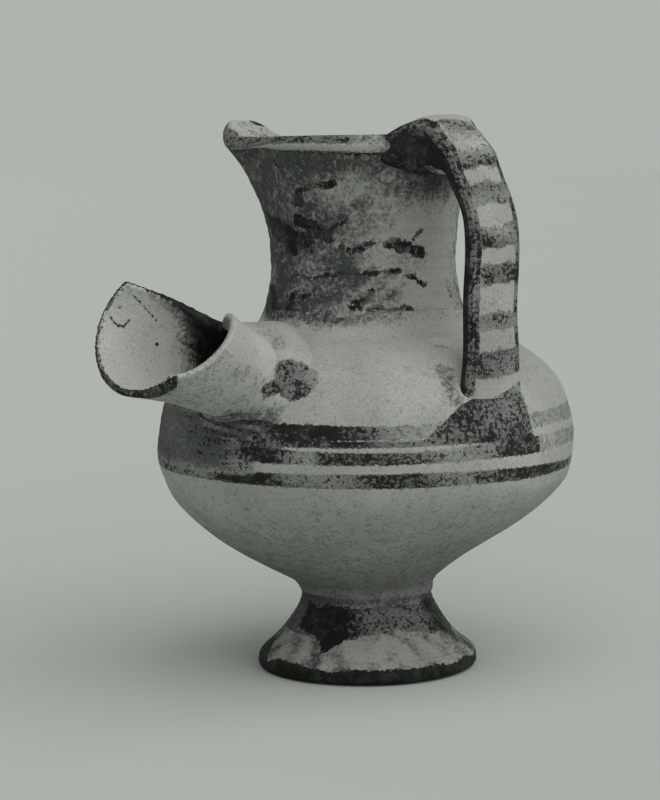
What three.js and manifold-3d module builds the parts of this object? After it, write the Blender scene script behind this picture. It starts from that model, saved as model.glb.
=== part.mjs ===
// Side-spouted pottery jug: one fired pot made of thrown and hand-formed pieces, luted together with rolls of clay.
// Millimetres, +Z up. The handle lies towards +X and the pouring lobe of the lip towards -X.
import * as THREE from "three";
import { mergeVertices } from "three/addons/utils/BufferGeometryUtils.js";
import Module from "manifold-3d";

const wasm = await Module();
wasm.setup();

// Foot: a conical pedestal, hollow underneath
const FOOT_R = 31.8;
const FOOT_EDGE_H = 4.5;
const FOOT_RING_W = 5.5;
const FOOT_CHAMFER = 1.2;
const FOOT_PULL = 9;
const FOOT_PULL_UP = 4.5;
const FOOT_HOLLOW_H = 13;
const FOOT_H = 22.5;
const STEM_R = 19;
const STEM_PULL = 9;

// Bowl and shoulder
const BOWL_WALL = 4.6;
const BOWL_FLOOR = 6;
const BOWL_SEAT_R = 15.5;
const BOWL_RISE = 32.7;
const BOWL_PULL = 33;
const BELLY_PULL = 16;
const BELLY_PULL_UP = 19.5;
const SHOULDER_PULL = 20;
const BELLY_R = 60.2;
const BELLY_Z = 64.5;
const SHOULDER_Z = 98;
const SHOULDER_SLOPE = 16.3;

// Neck and trefoil lip
const NECK_WALL = 4.8;
const NECK_BASE_R = 30.4;
const NECK_WAIST_R = 26.9;
const MOUTH_R = 33.5;
const RIM_Z = 152.5;
const LIP_BEAD = 2.4;
const LIP_ROLL = 1;
const LIP_ROLL_H = 1.8;
const LIP_LEAN_H = 18;
const LOBE_TURN = 186;
const LOBE_REACH = 17;
const LOBE_SPREAD = 31;
const LOBE_LIFT = 5;
const LIFT_SPREAD = 12;
const PINCH_DEPTH = 3.6;
const PINCH_FROM_LOBE = 62;
const PINCH_SPREAD = 24;

// Spout: a tube that flares into an open trough, rolled towards the handle
const SPOUT_TURN = -78;
const SPOUT_RISE = 24.5;
const SPOUT_ROOT_R = 50.3;
const SPOUT_ROOT_Z = 86;
const SPOUT_TUBE_R = 12.8;
const SPOUT_LIP_R = 18.7;
const SPOUT_WALL = 3.6;
const SPOUT_LIP_WALL = 2.2;
const SPOUT_LENGTH = 42.9;
const SPOUT_FLARE_FROM = 8;
const SPOUT_CUT_FROM = 14;
const SPOUT_CUT_ANGLE = -12;
const SPOUT_FAR_ANGLE = -47;
const SPOUT_NEAR_ANGLE = 133;
const SPOUT_NEAR_BOW = 1.45;

// Strainer holes through the shoulder, behind the spout
const STRAINER_HOLE_R = 2;
const STRAINER_RING_R = 5.6;
const STRAINER_RING_COUNT = 6;

// Handle: a strap with a thick root, splayed where it is pressed on the lip and on the shoulder
const STRAP_W = 18;
const STRAP_T = 5.7;
const HANDLE_REACH = 56;
const HANDLE_RISE = 5.7;
const HANDLE_ROOT_DROP = 11.2;
const HANDLE_FOOT_DROP = 20;
const LIP_SPLAY_W = 40;
const SHOULDER_SPLAY_W = 22;

// Rolls of clay smoothed into the joins, and the clearance between neighbouring pieces
const GAP = 0.3;
const FOOT_COIL_H = 3;
const NECK_COIL_W = 4.6;
const NECK_COIL_H = 4.4;
const SPOUT_COIL_W = 3.4;
const SPOUT_COIL_H = 6;
const WEB_R = 6.7;
const WEB_LENGTH = 11;
const WEB_SPREAD = 40;

const ROUND = 60;
const CURVE_STEPS = 9;
const TAU = 2 * Math.PI;
const { degToRad, lerp, clamp } = THREE.MathUtils;
const flat = (r, z) => new THREE.Vector2(r, z);

// Outlines are lists of points (radius, height)

function bezier(a, b, c, d, count) {
  return new THREE.CubicBezierCurve(a, b, c, d).getSpacedPoints(count);
}

// An outline moved sideways: outwards when the distance is positive and the outline runs upwards
function beside(outline, distance) {
  return outline.map((p, i) => {
    const before = outline[Math.max(i - 1, 0)];
    const after = outline[Math.min(i + 1, outline.length - 1)];
    const along = after.clone().sub(before).normalize();
    return flat(p.x + along.y * distance, p.y - along.x * distance);
  });
}

// The radius of an upward outline at a height
function radiusAt(outline, z) {
  const i = clamp(outline.findIndex((p) => p.y > z), 1, outline.length - 1);
  const [a, b] = [outline[i - 1], outline[i]];
  return lerp(a.x, b.x, clamp((z - a.y) / (b.y - a.y), 0, 1));
}

// Solids

function meshGeometry(at, index) {
  const geometry = new THREE.BufferGeometry();
  geometry.setAttribute("position", new THREE.Float32BufferAttribute(at, 3));
  geometry.setIndex(index);
  return geometry;
}

function solidOf(geometry) {
  const bare = geometry.clone();
  bare.deleteAttribute("normal");
  bare.deleteAttribute("uv");
  const merged = mergeVertices(bare, 1e-3);
  const mesh = new wasm.Mesh({
    numProp: 3,
    vertProperties: merged.attributes.position.array,
    triVerts: new Uint32Array(merged.index.array),
  });
  return new wasm.Manifold(mesh);
}

function geometryOf(solid) {
  const mesh = solid.getMesh();
  return meshGeometry([...mesh.vertProperties], [...mesh.triVerts]);
}

function turned(outline) {
  return solidOf(new THREE.LatheGeometry(outline, ROUND).rotateX(Math.PI / 2));
}

// A skin over rings of points. An open row of rings gets end caps; a closed row joins its last ring to its first.
function skinned(rings, closedRow = false) {
  const count = rings[0].length;
  const points = rings.flat();
  const index = [];
  const bands = closedRow ? rings.length : rings.length - 1;
  for (let i = 0; i < bands; i += 1) {
    const here = i * count;
    const next = ((i + 1) % rings.length) * count;
    for (let j = 0; j < count; j += 1) {
      const k = (j + 1) % count;
      index.push(here + j, here + k, next + k, here + j, next + k, next + j);
    }
  }
  if (!closedRow) {
    const last = (rings.length - 1) * count;
    const hub = (ring) =>
      ring.reduce((sum, p) => sum.add(p), new THREE.Vector3()).divideScalar(count);
    points.push(hub(rings[0]), hub(rings[rings.length - 1]));
    for (let j = 0; j < count; j += 1) {
      const k = (j + 1) % count;
      index.push(points.length - 2, k, j, points.length - 1, last + j, last + k);
    }
  }
  const at = points.flatMap((p) => p.toArray());
  const made = solidOf(meshGeometry(at, index));
  return made.volume() > 0 ? made : solidOf(meshGeometry(at, [...index].reverse()));
}

// Bowl: the thrown vessel from its flat seat on the foot to the flat ring that carries the neck

const belly = flat(BELLY_R, BELLY_Z);
const bowlSeat = flat(BOWL_SEAT_R, FOOT_H);
const shoulderTop = flat(NECK_BASE_R + GAP, SHOULDER_Z);
const bowlLow = bezier(
  bowlSeat,
  flat(
    BOWL_SEAT_R + BOWL_PULL * Math.cos(degToRad(BOWL_RISE)),
    FOOT_H + BOWL_PULL * Math.sin(degToRad(BOWL_RISE)),
  ),
  flat(BELLY_R, BELLY_Z - BELLY_PULL),
  belly,
  CURVE_STEPS,
);
const bowlHigh = bezier(
  belly,
  flat(BELLY_R, BELLY_Z + BELLY_PULL_UP),
  flat(
    shoulderTop.x + SHOULDER_PULL * Math.cos(degToRad(SHOULDER_SLOPE)),
    SHOULDER_Z - SHOULDER_PULL * Math.sin(degToRad(SHOULDER_SLOPE)),
  ),
  shoulderTop,
  CURVE_STEPS,
);
const bowlOutline = [...bowlLow, ...bowlHigh.slice(1)];
const bowlOuter = beside(bowlOutline, GAP);

function makeBowl() {
  const seatInner = NECK_BASE_R - NECK_WALL;
  const floorZ = FOOT_H + BOWL_FLOOR;
  const lining = beside(bowlOutline, -BOWL_WALL).filter(
    (p) => p.y > floorZ + 1 && p.x > seatInner && p.y < SHOULDER_Z - BOWL_WALL,
  );
  const outline = [
    flat(0, FOOT_H),
    ...bowlOutline,
    flat(seatInner, SHOULDER_Z),
    flat(seatInner, SHOULDER_Z - BOWL_WALL),
    ...lining.reverse(),
    flat(BOWL_SEAT_R * 0.6, floorZ),
    flat(0, floorZ),
  ];
  return turned(outline);
}

// Foot: its flat top carries the bowl

const stemOutline = bezier(
  flat(FOOT_R, FOOT_EDGE_H),
  flat(FOOT_R - FOOT_PULL, FOOT_EDGE_H + FOOT_PULL_UP),
  flat(STEM_R, FOOT_H - STEM_PULL),
  flat(STEM_R, FOOT_H),
  CURVE_STEPS,
);

function makeFoot() {
  const outline = [
    flat(0, FOOT_HOLLOW_H),
    flat(FOOT_R * 0.25, FOOT_HOLLOW_H - 1),
    flat(FOOT_R - FOOT_RING_W - 5, FOOT_EDGE_H - 0.5),
    flat(FOOT_R - FOOT_RING_W, 0),
    flat(FOOT_R - FOOT_CHAMFER, 0),
    flat(FOOT_R, FOOT_CHAMFER),
    ...stemOutline,
    flat(0, FOOT_H),
  ];
  return turned(outline);
}

// Foot coil: fills the notch between the foot's top and the bowl's underside

function makeFootCoil() {
  const top = FOOT_H + FOOT_COIL_H;
  const outline = [
    flat(BOWL_SEAT_R + 2 * GAP, FOOT_H),
    flat(STEM_R, FOOT_H),
    flat(STEM_R + FOOT_COIL_H / 10, FOOT_H + FOOT_COIL_H / 2),
    flat(radiusAt(bowlOuter, top), top),
    flat(radiusAt(bowlOuter, FOOT_H + FOOT_COIL_H / 2), FOOT_H + FOOT_COIL_H / 2),
    flat(BOWL_SEAT_R + 2 * GAP, FOOT_H),
  ];
  return turned(outline);
}

// Neck: one section outline for every direction, so that the lip can be pinched into three lobes

const hump = (angle, middle, spread, power = 2) => {
  const off = Math.abs(THREE.MathUtils.euclideanModulo(angle - middle + 180, 360) - 180);
  return Math.exp(-((off / spread) ** power));
};

// The lip's outer radius and the height of its top in one direction
function lipAt(angle) {
  const lobe = hump(angle, LOBE_TURN, LOBE_SPREAD);
  const pinch =
    hump(angle, LOBE_TURN - PINCH_FROM_LOBE, PINCH_SPREAD) +
    hump(angle, LOBE_TURN + PINCH_FROM_LOBE, PINCH_SPREAD);
  const lift = LOBE_LIFT * hump(angle, LOBE_TURN, LIFT_SPREAD, 4);
  return flat(MOUTH_R + LOBE_REACH * lobe - PINCH_DEPTH * pinch, RIM_Z + lift);
}

// The neck's outer outline in one direction, from its base to the groove under the rolled lip
function neckOutline(angle) {
  const lip = lipAt(angle);
  const pull = (4 * NECK_WAIST_R - NECK_BASE_R / 2 - MOUTH_R / 2) / 3;
  const lean = flat(lip.x - pull, LIP_LEAN_H).normalize().x;
  const edge = flat(lip.x, lip.y - LIP_BEAD - (NECK_WALL / 2) * lean);
  return bezier(
    flat(NECK_BASE_R, SHOULDER_Z),
    flat(pull, SHOULDER_Z + NECK_COIL_H * 2.3),
    flat(pull, edge.y - LIP_LEAN_H),
    flat(edge.x - LIP_ROLL, edge.y - LIP_ROLL_H),
    CURVE_STEPS,
  );
}

// The neck's section in one direction: outer face, rounded lip, inner face
function neckSection(angle) {
  const outer = neckOutline(angle);
  const inner = beside(outer, -NECK_WALL);
  inner[0] = flat(NECK_BASE_R - NECK_WALL, SHOULDER_Z);
  const roll = flat(LIP_ROLL, LIP_ROLL_H);
  const [lipOut, lipIn] = [outer, inner].map((line) => line[line.length - 1].clone().add(roll));
  const crown = [0, 0.2, 0.5, 0.8, 1].map((t) =>
    flat(lerp(lipOut.x, lipIn.x, t), lerp(lipOut.y, lipIn.y, t) + LIP_BEAD * Math.sin(Math.PI * t)),
  );
  return { outer, crown, inner };
}

const aroundAxis = (p, angle) => {
  const a = degToRad(angle);
  return new THREE.Vector3(p.x * Math.cos(a), p.x * Math.sin(a), p.y);
};

const directions = Array.from({ length: ROUND }, (_, i) => (i * 360) / ROUND);

function makeNeck() {
  const rings = directions.map((angle) => {
    const { outer, crown, inner } = neckSection(angle);
    return [...outer, ...crown, ...inner.reverse()].map((p) => aroundAxis(p, angle));
  });
  return skinned(rings, true);
}

// Everything inside the neck's outer face and under its lip, with the clearance
function neckFilled() {
  const outlines = directions.map((angle) => {
    const { outer, crown, inner } = neckSection(angle);
    const outside = beside([...outer, ...crown], GAP);
    const top = Math.max(...outside.map((p) => p.y));
    return [...outside.slice(0, -2), flat(inner[inner.length - 1].x, top + GAP)];
  });
  const rings = outlines[0].map((_, row) =>
    directions.map((angle, i) => aroundAxis(outlines[i][row], angle)),
  );
  return skinned(rings);
}

// Neck coil: a ring with a hollow face between the shoulder and the neck

function makeNeckCoil() {
  const neckOuter = beside(neckOutline(0), GAP);
  const out = NECK_BASE_R + NECK_COIL_W;
  const top = SHOULDER_Z + NECK_COIL_H;
  const shoulderZ = (r) => {
    const p = [...bowlOuter].reverse().find((q) => q.x >= r);
    return p ? p.y : SHOULDER_Z;
  };
  const inR = radiusAt(neckOuter, SHOULDER_Z + 2 * GAP);
  const high = top - NECK_COIL_H * 0.36;
  const outline = [
    flat(inR + GAP, SHOULDER_Z + GAP),
    flat(out, shoulderZ(out)),
    flat(out - NECK_COIL_W * 0.41, shoulderZ(out) + NECK_COIL_H * 0.23),
    flat(radiusAt(neckOuter, high) + NECK_COIL_W * 0.17, high),
    flat(radiusAt(neckOuter, top), top),
    flat(inR + GAP, SHOULDER_Z + GAP),
  ];
  return turned(outline);
}

// Spout: worked out along its own axis, with the trough's open side turned by the roll

const spoutFrame = (() => {
  const turn = degToRad(SPOUT_TURN);
  const rise = degToRad(SPOUT_RISE);
  const out = new THREE.Vector3(Math.cos(turn), Math.sin(turn), 0);
  const up = new THREE.Vector3(0, 0, 1);
  const axis = out.clone().multiplyScalar(Math.cos(rise)).addScaledVector(up, Math.sin(rise));
  const above = up.clone().multiplyScalar(Math.cos(rise)).addScaledVector(out, -Math.sin(rise));
  const side = new THREE.Vector3().crossVectors(axis, above);
  const root = out.clone().multiplyScalar(SPOUT_ROOT_R).addScaledVector(up, SPOUT_ROOT_Z);
  return { axis, above, side, root };
})();

// The spout's outer radius along its axis
function spoutR(along) {
  const flare = clamp((along - SPOUT_FLARE_FROM) / (SPOUT_LENGTH - SPOUT_FLARE_FROM), 0, 1.2);
  return SPOUT_TUBE_R + (SPOUT_LIP_R - SPOUT_TUBE_R) * flare ** 1.6;
}

// A point on a circle round the spout's axis: 0 degrees is the side that looks up
function roundSpout(along, radius, angle) {
  const a = degToRad(angle);
  return spoutFrame.root
    .clone()
    .addScaledVector(spoutFrame.axis, along)
    .addScaledVector(spoutFrame.above, radius * Math.cos(a))
    .addScaledVector(spoutFrame.side, -radius * Math.sin(a));
}

// The wall thins from the tube to the lip of the trough
function spoutWall(along) {
  const share = clamp((along - SPOUT_CUT_FROM) / (SPOUT_LENGTH - SPOUT_CUT_FROM), 0, 1);
  return lerp(SPOUT_WALL, SPOUT_LIP_WALL, share);
}

function spoutLoft(from, to, radiusOf, steps) {
  const rings = Array.from({ length: steps + 1 }, (_, i) => {
    const along = lerp(from, to, i / steps);
    return Array.from({ length: 40 }, (__, j) => roundSpout(along, radiusOf(along), j * -9));
  });
  return skinned(rings);
}

// What opens the tube into a trough: a wedge round the spout's axis, wider towards the lip, with a bowed near side
function spoutCut() {
  const steps = 10;
  const rings = Array.from({ length: steps + 1 }, (_, i) => {
    const at = i / steps;
    const along = lerp(SPOUT_CUT_FROM, SPOUT_LENGTH, at);
    const far = lerp(SPOUT_CUT_ANGLE - 3, SPOUT_FAR_ANGLE, at);
    const bow = Math.sin((at * Math.PI) / 2) ** SPOUT_NEAR_BOW;
    const near = lerp(SPOUT_CUT_ANGLE + 3, SPOUT_NEAR_ANGLE, bow);
    const inside = spoutR(along) - SPOUT_WALL - 1;
    const outside = spoutR(along) + 1;
    const arc = [0.25, 0.5, 0.75].map((t) => roundSpout(along, 2 * SPOUT_LIP_R, lerp(far, near, t)));
    return [
      roundSpout(along, 0, 0),
      ...[inside, outside, 2 * SPOUT_LIP_R].map((radius) => roundSpout(along, radius, far)),
      ...arc,
      ...[2 * SPOUT_LIP_R, outside, inside].map((radius) => roundSpout(along, radius, near)),
    ];
  });
  const beyond = rings[steps].map((p) => p.clone().addScaledVector(spoutFrame.axis, SPOUT_WALL));
  return skinned([...rings, beyond]);
}

const bowlFilled = turned([flat(0, FOOT_H), ...bowlOuter.slice(1), flat(0, SHOULDER_Z + GAP)]);

function makeSpout() {
  const steps = 12;
  const root = -16;
  return spoutLoft(root, SPOUT_LENGTH, spoutR, steps)
    .subtract(spoutLoft(root - 1, SPOUT_LENGTH + 1, (along) => spoutR(along) - spoutWall(along), steps))
    .subtract(bowlFilled)
    .subtract(spoutCut());
}

function strainerHoles() {
  const places = [[0, 0]];
  for (let i = 0; i < STRAINER_RING_COUNT; i += 1) {
    places.push([STRAINER_RING_R, (i * 360) / STRAINER_RING_COUNT]);
  }
  return places.map(([radius, angle]) => {
    const start = roundSpout(-14, radius, angle);
    const hole = new THREE.CylinderGeometry(STRAINER_HOLE_R, STRAINER_HOLE_R, 40, 10);
    hole.applyQuaternion(
      new THREE.Quaternion().setFromUnitVectors(new THREE.Vector3(0, 1, 0), spoutFrame.axis),
    );
    hole.translate(start.x, start.y, start.z);
    return solidOf(hole);
  });
}

// Spout coil: a collar whose section is found afresh in each direction round the tube

// How far along a line parallel to the spout's axis the bowl's outer face lies
function alongToBowl(radius, angle) {
  let [inside, outside] = [-40, SPOUT_LENGTH];
  for (let i = 0; i < 30; i += 1) {
    const middle = (inside + outside) / 2;
    const p = roundSpout(middle, radius, angle);
    const within = p.z < SHOULDER_Z && Math.hypot(p.x, p.y) < radiusAt(bowlOuter, p.z);
    if (within) inside = middle;
    else outside = middle;
  }
  return outside;
}

// On top the collar grows into a web of clay that fills the hollow between the tube and the neck
function makeSpoutCoil() {
  const rings = Array.from({ length: 40 }, (_, i) => {
    const angle = i * 9;
    const web = hump(angle, 0, WEB_SPREAD);
    const tube = SPOUT_TUBE_R + GAP;
    const wide = tube + SPOUT_COIL_W;
    const [near, far] = [alongToBowl(tube, angle), alongToBowl(wide, angle)];
    const foot = Math.max(near, far);
    const end = lerp(near + SPOUT_COIL_H, WEB_LENGTH, web);
    const swell = lerp(SPOUT_COIL_W * 0.45, WEB_R, web);
    const waist = lerp(SPOUT_COIL_W * 0.2, WEB_R * 0.5, web);
    return [
      roundSpout(near, tube, angle),
      roundSpout(far, wide, angle),
      roundSpout(foot + lerp(4, 5.3, web) * GAP, tube + swell, angle),
      roundSpout(lerp(near, end, 0.6), tube + waist, angle),
      roundSpout(end, spoutR(end) + GAP, angle),
    ];
  });
  return skinned(rings, true);
}

// Handle: rings of one strap section between its back and its inner face, which are curves in one plane

function makeHandle() {
  const across = (share) => lerp(MOUTH_R, HANDLE_REACH, share);
  const top = RIM_Z + HANDLE_RISE;
  const under = RIM_Z - HANDLE_ROOT_DROP;
  const inside = HANDLE_REACH - STRAP_T;
  const end = SHOULDER_Z - HANDLE_FOOT_DROP;
  const back = new THREE.SplineCurve([
    flat(across(-0.23), RIM_Z + 0.9),
    flat(across(-0.07), top - 1),
    flat(across(0.14), top - 0.3),
    flat(across(0.36), top - 4),
    flat(across(0.63), top - 10.9),
    flat(across(0.87), top - 21.2),
    flat(HANDLE_REACH, top - 34),
    flat(HANDLE_REACH, top - 50),
    flat(HANDLE_REACH, top - 64),
    flat(HANDLE_REACH - 0.3, end),
  ]);
  const front = new THREE.SplineCurve([
    flat(across(-0.23), under + 1.2),
    flat(across(-0.07), under),
    flat(across(0.12), under),
    flat(across(0.28), under + 0.1),
    flat(across(0.45), under - 0.9),
    flat(across(0.69), top - 24.4),
    flat(inside + 0.2, top - 35),
    flat(inside, top - 50),
    flat(inside, top - 64),
    flat(inside, end),
  ]);
  const steps = 34;
  const rings = Array.from({ length: steps + 1 }, (_, i) => {
    const at = i / steps;
    const [outer, inner] = [back.getPoint(at), front.getPoint(at)];
    const middle = outer.clone().add(inner).divideScalar(2);
    const half = outer.clone().sub(middle);
    const atLip = clamp(1 - at / 0.3, 0, 1) ** 1.5;
    const atFoot = clamp((at - 0.82) / 0.18, 0, 1) ** 1.5;
    const splay = (LIP_SPLAY_W - STRAP_W) * atLip + (SHOULDER_SPLAY_W - STRAP_W) * atFoot;
    const halfW = (STRAP_W + splay) / 2;
    const square = lerp(0.5, 0.9, Math.max(atLip, atFoot));
    return Array.from({ length: 16 }, (__, j) => {
      const a = (j / 16) * TAU;
      const w = halfW * Math.sign(Math.cos(a)) * Math.abs(Math.cos(a)) ** square;
      const t = Math.sign(Math.sin(a)) * Math.abs(Math.sin(a)) ** square;
      const bend = (atLip * w * w) / (2 * MOUTH_R) + (atFoot * w * w) / (2 * HANDLE_REACH);
      return new THREE.Vector3(middle.x + half.x * t - bend, w, middle.y + half.y * t);
    });
  });
  return skinned(rings).subtract(neckFilled()).subtract(bowlFilled);
}

// The finished group

const pot = new THREE.Group();

function add(name, solid, colour, roughness) {
  const material = new THREE.MeshStandardMaterial({ color: colour, roughness, metalness: 0 });
  const mesh = new THREE.Mesh(geometryOf(solid), material);
  mesh.name = name;
  pot.add(mesh);
}

const bowl = strainerHoles().reduce((left, hole) => left.subtract(hole), makeBowl());
add("foot", makeFoot(), 0xa8aca6, 0.8);
add("foot_coil", makeFootCoil(), 0x9fa39d, 0.85);
add("body", bowl, 0xb3b7b1, 0.78);
add("neck_coil", makeNeckCoil(), 0x9b9f99, 0.85);
add("neck", makeNeck(), 0x8d918b, 0.8);
add("spout", makeSpout(), 0xbcc0ba, 0.75);
add("spout_coil", makeSpoutCoil(), 0xa5a9a3, 0.85);
add("handle", makeHandle(), 0x999d97, 0.82);

// The frame's origin is the middle of the bounding box's underside
const box = new THREE.Box3().setFromObject(pot);
const middle = box.getCenter(new THREE.Vector3());
pot.children.forEach((mesh) => mesh.geometry.translate(-middle.x, -middle.y, 0));

export default pot;
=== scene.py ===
# Side-spouted pottery jug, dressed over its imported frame. Metres, +Z up, handle towards +X.
import math
import bpy
import numpy as np
from mathutils import Matrix, Vector


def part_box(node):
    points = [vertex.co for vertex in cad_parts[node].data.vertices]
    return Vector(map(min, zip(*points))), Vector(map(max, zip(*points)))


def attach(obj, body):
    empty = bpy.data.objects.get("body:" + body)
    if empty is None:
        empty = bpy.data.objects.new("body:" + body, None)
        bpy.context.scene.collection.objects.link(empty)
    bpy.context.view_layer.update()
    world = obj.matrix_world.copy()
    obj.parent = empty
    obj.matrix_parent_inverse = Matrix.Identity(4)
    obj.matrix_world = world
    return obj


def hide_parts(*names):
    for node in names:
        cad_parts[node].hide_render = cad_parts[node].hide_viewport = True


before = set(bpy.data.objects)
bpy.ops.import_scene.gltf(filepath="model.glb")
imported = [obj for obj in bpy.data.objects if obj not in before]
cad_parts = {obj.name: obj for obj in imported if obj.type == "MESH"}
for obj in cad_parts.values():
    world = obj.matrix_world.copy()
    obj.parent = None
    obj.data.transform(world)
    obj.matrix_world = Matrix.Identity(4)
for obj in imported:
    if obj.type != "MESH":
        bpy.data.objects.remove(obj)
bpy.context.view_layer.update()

# Camera: level with the lip, in front of the spout and to the left of the handle, as in the photograph.
# Azimuths are in degrees round the vessel's own axis, with the handle at 0.
CAMERA_AZIMUTH = -40
CAMERA_DISTANCE = 0.66
CAMERA_HEIGHT = 0.15
CAMERA_ROLL = 0.7
AIM_LEFT = 0.01
AIM_HEIGHT = 0.077
LENS = 126

foot_lo, foot_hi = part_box("foot")
axis = Vector(((foot_lo.x + foot_hi.x) / 2, (foot_lo.y + foot_hi.y) / 2, 0))


def round_axis(azimuth, radius, height):
    """A place in metres, given by its azimuth, radius and height round the vessel's axis."""
    a = math.radians(azimuth)
    return axis + Vector((radius * math.cos(a), radius * math.sin(a), height))


camera = bpy.data.objects.new("camera", bpy.data.cameras.new("camera"))
bpy.context.scene.collection.objects.link(camera)
spot = round_axis(CAMERA_AZIMUTH, CAMERA_DISTANCE, CAMERA_HEIGHT)
aim = round_axis(CAMERA_AZIMUTH - 90, AIM_LEFT, AIM_HEIGHT)
forward = (aim - spot).normalized()
right = forward.cross(Vector((0, 0, 1))).normalized()
up = right.cross(forward)
roll = math.radians(CAMERA_ROLL)
right, up = math.cos(roll) * right - math.sin(roll) * up, math.sin(roll) * right + math.cos(roll) * up
camera.matrix_world = Matrix.Translation(spot) @ Matrix((right, up, -forward)).transposed().to_4x4()
camera.data.sensor_fit = "HORIZONTAL"
camera.data.sensor_width = 36
camera.data.lens = LENS
camera.data.clip_start, camera.data.clip_end = 0.05, 40
bpy.context.scene.camera = camera
bpy.context.scene.view_settings.view_transform = "Standard"

# Light: one very broad key from the photograph's right, over a pale surround that fills the shadows.
# The camera sees the surround as a plain backdrop.
KEY_AZIMUTH = 12
KEY_ELEVATION = 44
KEY_STRENGTH = 1.65
KEY_SOFTNESS = 110
SURROUND = "#b9bdb8"
SURROUND_FILL = 0.68
BACKDROP = "#b0b4ae"


def srgb(colour):
    """A hex colour as the linear values that Blender mixes."""
    parts = [int(colour[i:i + 2], 16) / 255 for i in (1, 3, 5)]
    return (*(c / 12.92 if c < 0.04045 else ((c + 0.055) / 1.055) ** 2.4 for c in parts), 1)


def add(tree, kind, links=None, **settings):
    """Adds one node with its settings and links. A node given as a source means its first output."""
    node = tree.nodes.new(kind)
    for name, value in settings.items():
        setattr(node, name, value)
    for socket, source in (links or {}).items():
        if isinstance(source, bpy.types.Node):
            source = source.outputs[0]
        if isinstance(source, bpy.types.NodeSocket):
            tree.links.new(source, node.inputs[socket])
        else:
            node.inputs[socket].default_value = source
    return node


key = bpy.data.objects.new("key_light", bpy.data.lights.new("key_light", "SUN"))
key.data.energy = KEY_STRENGTH
key.data.angle = math.radians(KEY_SOFTNESS)
key.rotation_euler = (0, math.radians(90 - KEY_ELEVATION), math.radians(KEY_AZIMUTH))
bpy.context.scene.collection.objects.link(key)
world = bpy.data.worlds.new("studio_surround")
world.use_nodes = True
world.node_tree.nodes.clear()
seen = add(world.node_tree, "ShaderNodeBackground", {"Color": srgb(BACKDROP), "Strength": 1})
fill = add(world.node_tree, "ShaderNodeBackground", {"Color": srgb(SURROUND), "Strength": SURROUND_FILL})
ray = add(world.node_tree, "ShaderNodeLightPath")
either = add(world.node_tree, "ShaderNodeMixShader", {0: ray.outputs["Is Camera Ray"], 1: fill, 2: seen})
add(world.node_tree, "ShaderNodeOutputWorld", {"Surface": either})
bpy.context.scene.world = world

# Floor: a wide round sheet of pale matt paper.
FLOOR_R = 12
FLOOR_SIDES = 48
FLOOR_COLOUR = "#c7cbc6"

paper = bpy.data.materials.new("paper_matt_floor")
paper.use_nodes = True
paper.node_tree.nodes.clear()
sheet = add(paper.node_tree, "ShaderNodeBsdfDiffuse", {"Color": srgb(FLOOR_COLOUR), "Roughness": 0.5})
add(paper.node_tree, "ShaderNodeOutputMaterial", {"Surface": sheet})
floor_turns = [2 * math.pi * i / FLOOR_SIDES for i in range(FLOOR_SIDES)]
floor_edge = [(FLOOR_R * math.cos(a), FLOOR_R * math.sin(a), 0) for a in floor_turns]
floor_mesh = bpy.data.meshes.new("floor")
floor_mesh.from_pydata(floor_edge, [], [range(FLOOR_SIDES)])
floor_mesh.materials.append(paper)
floor = bpy.data.objects.new("floor", floor_mesh)
bpy.context.scene.collection.objects.link(floor)

# Foot: a conical pedestal of pale buff clay, thrown on its own, hollow underneath and trimmed on the wheel.
# A dark slip bands its stem and edges its base; painted shade darkens the base's edge and the cone's left
# side further. Here and below, outlines are (radius, height) in mm.
FOOT_R = (foot_hi.x - axis.x) * 1000
FOOT_H = foot_hi.z * 1000
FOOT_HOLLOW_H = 13
STEM_R = 19
FOOT_STEPS = 320

# Sizes of the clay's and the slip's patterns, in mm. Real grit is finer: it is drawn as coarse as shows.
CLOUD = 33.33
THREAD = 18.18
TURNING = 4.348
MOTTLE = 3.846
FLECK = 1.111
GRIT = 0.3846


def between(a, b, c, d, t):
    """A share t of the way from b to c, on the smooth curve that also passes a and d."""
    return 0.5 * (2 * b + (c - a) * t + (2 * a - 5 * b + 4 * c - d) * t**2 + (3 * b - a - 3 * c + d) * t**3)


def through(points, per_span=24):
    """A smooth line through points."""
    p = np.asarray(points, float)
    p = np.vstack([p[:1], p, p[-1:]])
    t = np.linspace(0, 1, per_span, endpoint=False)[:, None]
    spans = [between(a, b, c, d, t) for a, b, c, d in zip(p[:-3], p[1:-2], p[2:-1], p[3:])]
    return np.vstack([*spans, p[-1:]])


def run_of(line):
    """How far along a line each of its points lies."""
    return np.concatenate([[0], np.cumsum(np.linalg.norm(np.diff(line, axis=0), axis=1))])


def spaced(line, count):
    """The same line as evenly spaced points."""
    run = run_of(line)
    at = np.linspace(0, run[-1], count)
    return np.column_stack([np.interp(at, run, line[:, k]) for k in range(line.shape[1])])


def waves(azimuth, height, seed, longest, shortest, turns=9, count=16):
    """Smooth unevenness of a hand-made wall, about -1 to 1, closed round the vessel. Azimuth in degrees."""
    rng = np.random.default_rng(seed)
    total = 0
    for _ in range(count):
        pitch = rng.uniform(shortest, longest) * rng.choice([-1, 1])
        lobes = rng.integers(0, turns)
        phase = 2 * np.pi * height / pitch + rng.uniform(0, 6.28)
        total = total + np.cos(np.radians(lobes * azimuth) + phase)
    return total / math.sqrt(count)


def throwing_rings(turn, height, pitch):
    """The low spiral that a potter's fingers leave in a thrown wall, -1 to 1."""
    return np.sin(2 * np.pi * (height / pitch + turn / 360))


def at_turns(turn, *points):
    """A value that changes round the vessel, given as (azimuth, value) points."""
    return np.interp(turn, *zip(*points), period=360)


def at_places(place, *points):
    """A value that changes along a piece or up the vessel, given as (place, value) points."""
    return np.interp(place, *zip(*points))


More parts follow.
